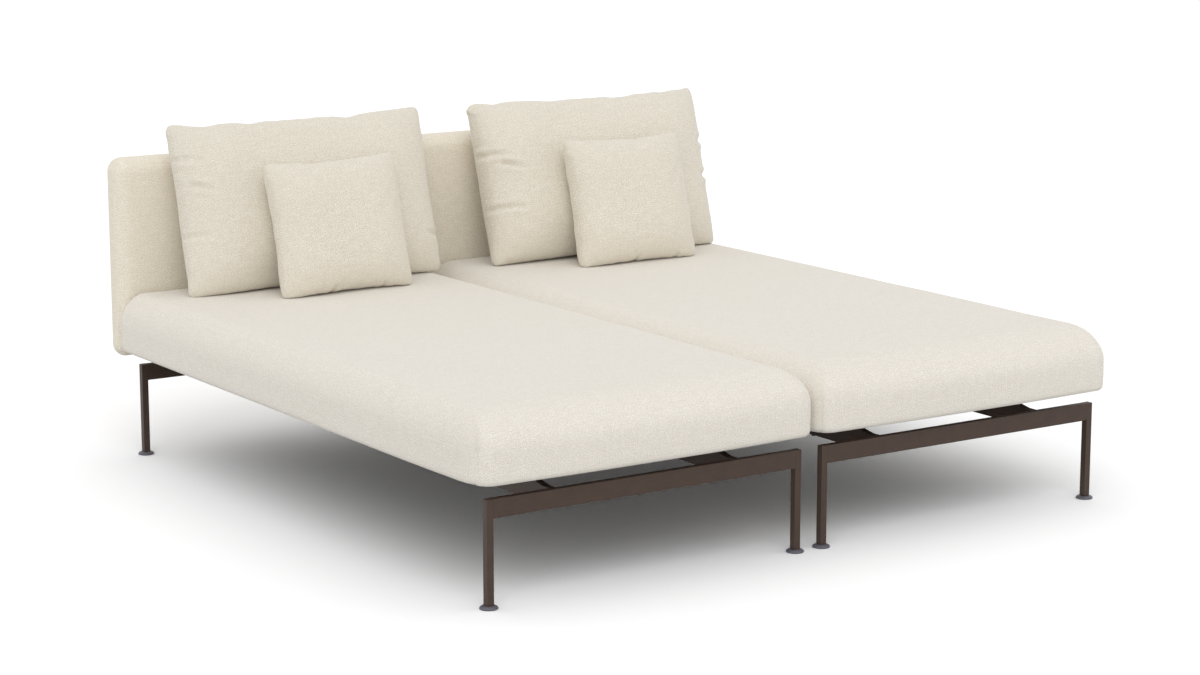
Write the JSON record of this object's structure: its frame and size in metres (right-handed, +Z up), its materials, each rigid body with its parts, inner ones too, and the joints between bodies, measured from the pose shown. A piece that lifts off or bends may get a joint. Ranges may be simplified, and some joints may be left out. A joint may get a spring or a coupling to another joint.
{
  "type": "double chaise lounger",
  "caption": "Wide patio lounger: slim tubular metal frames side by side, thick upholstered seat blocks, one long low backrest across both, loose pillows and levelling feet.",
  "frame": {"origin": "on the floor under the middle of the overall length and width", "axes": "+X to the right as seen from the foot end, +Y from the foot end to the backrest, +Z up"},
  "size_m": [1.728, 1.765, 0.82],
  "materials": {
    "powder_coat": "satin dark bronze-brown powder coat with a fine texture",
    "foot_plastic": "moulded grey plastic, matt",
    "zinc_steel": "zinc-plated steel",
    "black_zinc": "black zinc-plated steel, dark like the frame that it sits in",
    "seat_cloth": "cream woven outdoor cloth, plain weave",
    "back_cloth": "cream woven outdoor cloth, plain weave",
    "pillow_cloth": "cream woven outdoor cloth, plain weave",
    "dust_cloth": "dark spunbonded cloth",
    "foam": "open-cell quick-drying foam",
    "filling": "loose polyester fibre",
    "plywood": "sealed birch plywood"
  },
  "bodies": {
    "lounger": {"back_board": "plywood", "back_bracket_screws": "black_zinc", "back_cover": "back_cloth", "back_foam": "foam", "left_back_brackets": "powder_coat", "left_front_beam": "powder_coat", "left_front_inner_leg": "powder_coat", "left_front_outer_leg": "powder_coat", "left_inner_rail": "powder_coat", "left_outer_rail": "powder_coat", "left_rear_beam": "powder_coat", "left_rear_inner_leg": "powder_coat", "left_rear_outer_leg": "powder_coat", "left_seat_board": "plywood", "left_seat_cover": "seat_cloth", "left_seat_foam": "foam", "leg_inserts": "zinc_steel", "link_strap_screws": "black_zinc", "link_straps": "powder_coat", "right_back_brackets": "powder_coat", "right_front_beam": "powder_coat", "right_front_inner_leg": "powder_coat", "right_front_outer_leg": "powder_coat", "right_inner_rail": "powder_coat", "right_outer_rail": "powder_coat", "right_rear_beam": "powder_coat", "right_rear_inner_leg": "powder_coat", "right_rear_outer_leg": "powder_coat", "right_seat_board": "plywood", "right_seat_cover": "seat_cloth", "right_seat_foam": "foam", "seat_bolts": "black_zinc", "seat_dust_cloths": "dust_cloth", "seat_spacers": "powder_coat", "seat_tee_nuts": "zinc_steel"},
    "left_front_outer_foot": {"left_front_outer_pad": "foot_plastic"},
    "left_front_outer_screw": {"left_front_outer_stud": "zinc_steel"},
    "left_front_inner_foot": {"left_front_inner_pad": "foot_plastic"},
    "left_front_inner_screw": {"left_front_inner_stud": "zinc_steel"},
    "left_rear_outer_foot": {"left_rear_outer_pad": "foot_plastic"},
    "left_rear_outer_screw": {"left_rear_outer_stud": "zinc_steel"},
    "left_rear_inner_foot": {"left_rear_inner_pad": "foot_plastic"},
    "left_rear_inner_screw": {"left_rear_inner_stud": "zinc_steel"},
    "right_front_outer_foot": {"right_front_outer_pad": "foot_plastic"},
    "right_front_outer_screw": {"right_front_outer_stud": "zinc_steel"},
    "right_front_inner_foot": {"right_front_inner_pad": "foot_plastic"},
    "right_front_inner_screw": {"right_front_inner_stud": "zinc_steel"},
    "right_rear_outer_foot": {"right_rear_outer_pad": "foot_plastic"},
    "right_rear_outer_screw": {"right_rear_outer_stud": "zinc_steel"},
    "right_rear_inner_foot": {"right_rear_inner_pad": "foot_plastic"},
    "right_rear_inner_screw": {"right_rear_inner_stud": "zinc_steel"},
    "left_big_pillow": {"left_big_pillow_cover": "pillow_cloth", "left_big_pillow_filling": "filling"},
    "left_small_pillow": {"left_small_pillow_cover": "pillow_cloth", "left_small_pillow_filling": "filling"},
    "right_big_pillow": {"right_big_pillow_cover": "pillow_cloth", "right_big_pillow_filling": "filling"},
    "right_small_pillow": {"right_small_pillow_cover": "pillow_cloth", "right_small_pillow_filling": "filling"}
  },
  "joints": [
    {"name": "left_front_outer_foot_height", "type": "slide", "parent": "lounger", "child": "left_front_outer_foot", "axis": [0, 0, -1], "range_m": [0, 0.01]},
    {"name": "left_front_outer_screw_turn", "type": "hinge", "parent": "left_front_outer_foot", "child": "left_front_outer_screw", "pos_m": [-0.814, -0.8365, 0], "axis": [0, 0, 1], "range_deg": [0, 2880]},
    {"name": "left_front_inner_foot_height", "type": "slide", "parent": "lounger", "child": "left_front_inner_foot", "axis": [0, 0, -1], "range_m": [0, 0.01]},
    {"name": "left_front_inner_screw_turn", "type": "hinge", "parent": "left_front_inner_foot", "child": "left_front_inner_screw", "pos_m": [-0.036, -0.8365, 0], "axis": [0, 0, 1], "range_deg": [0, 2880]},
    {"name": "left_rear_outer_foot_height", "type": "slide", "parent": "lounger", "child": "left_rear_outer_foot", "axis": [0, 0, -1], "range_m": [0, 0.01]},
    {"name": "left_rear_outer_screw_turn", "type": "hinge", "parent": "left_rear_outer_foot", "child": "left_rear_outer_screw", "pos_m": [-0.814, 0.7875, 0], "axis": [0, 0, 1], "range_deg": [0, 2880]},
    {"name": "left_rear_inner_foot_height", "type": "slide", "parent": "lounger", "child": "left_rear_inner_foot", "axis": [0, 0, -1], "range_m": [0, 0.01]},
    {"name": "left_rear_inner_screw_turn", "type": "hinge", "parent": "left_rear_inner_foot", "child": "left_rear_inner_screw", "pos_m": [-0.036, 0.7875, 0], "axis": [0, 0, 1], "range_deg": [0, 2880]},
    {"name": "right_front_outer_foot_height", "type": "slide", "parent": "lounger", "child": "right_front_outer_foot", "axis": [0, 0, -1], "range_m": [0, 0.01]},
    {"name": "right_front_outer_screw_turn", "type": "hinge", "parent": "right_front_outer_foot", "child": "right_front_outer_screw", "pos_m": [0.814, -0.8365, 0], "axis": [0, 0, 1], "range_deg": [0, 2880]},
    {"name": "right_front_inner_foot_height", "type": "slide", "parent": "lounger", "child": "right_front_inner_foot", "axis": [0, 0, -1], "range_m": [0, 0.01]},
    {"name": "right_front_inner_screw_turn", "type": "hinge", "parent": "right_front_inner_foot", "child": "right_front_inner_screw", "pos_m": [0.036, -0.8365, 0], "axis": [0, 0, 1], "range_deg": [0, 2880]},
    {"name": "right_rear_outer_foot_height", "type": "slide", "parent": "lounger", "child": "right_rear_outer_foot", "axis": [0, 0, -1], "range_m": [0, 0.01]},
    {"name": "right_rear_outer_screw_turn", "type": "hinge", "parent": "right_rear_outer_foot", "child": "right_rear_outer_screw", "pos_m": [0.814, 0.7875, 0], "axis": [0, 0, 1], "range_deg": [0, 2880]},
    {"name": "right_rear_inner_foot_height", "type": "slide", "parent": "lounger", "child": "right_rear_inner_foot", "axis": [0, 0, -1], "range_m": [0, 0.01]},
    {"name": "right_rear_inner_screw_turn", "type": "hinge", "parent": "right_rear_inner_foot", "child": "right_rear_inner_screw", "pos_m": [0.036, 0.7875, 0], "axis": [0, 0, 1], "range_deg": [0, 2880]},
    {"name": "left_big_pillow_lift", "type": "slide", "parent": "lounger", "child": "left_big_pillow", "axis": [0, -0.5, 0.866], "range_m": [0, 0.3]},
    {"name": "left_small_pillow_lift", "type": "slide", "parent": "left_big_pillow", "child": "left_small_pillow", "axis": [0, -0.5, 0.866], "range_m": [0, 0.3]},
    {"name": "right_big_pillow_lift", "type": "slide", "parent": "lounger", "child": "right_big_pillow", "axis": [0, -0.5, 0.866], "range_m": [0, 0.3]},
    {"name": "right_small_pillow_lift", "type": "slide", "parent": "right_big_pillow", "child": "right_small_pillow", "axis": [0, -0.5, 0.866], "range_m": [0, 0.3]}
  ],
  "couplings": [
    {"joint": "left_front_outer_screw_turn", "follows": "left_front_outer_foot_height", "rad_per_m": 5026.5},
    {"joint": "left_front_inner_screw_turn", "follows": "left_front_inner_foot_height", "rad_per_m": 5026.5},
    {"joint": "left_rear_outer_screw_turn", "follows": "left_rear_outer_foot_height", "rad_per_m": 5026.5},
    {"joint": "left_rear_inner_screw_turn", "follows": "left_rear_inner_foot_height", "rad_per_m": 5026.5},
    {"joint": "right_front_outer_screw_turn", "follows": "right_front_outer_foot_height", "rad_per_m": 5026.5},
    {"joint": "right_front_inner_screw_turn", "follows": "right_front_inner_foot_height", "rad_per_m": 5026.5},
    {"joint": "right_rear_outer_screw_turn", "follows": "right_rear_outer_foot_height", "rad_per_m": 5026.5},
    {"joint": "right_rear_inner_screw_turn", "follows": "right_rear_inner_foot_height", "rad_per_m": 5026.5}
  ]
}
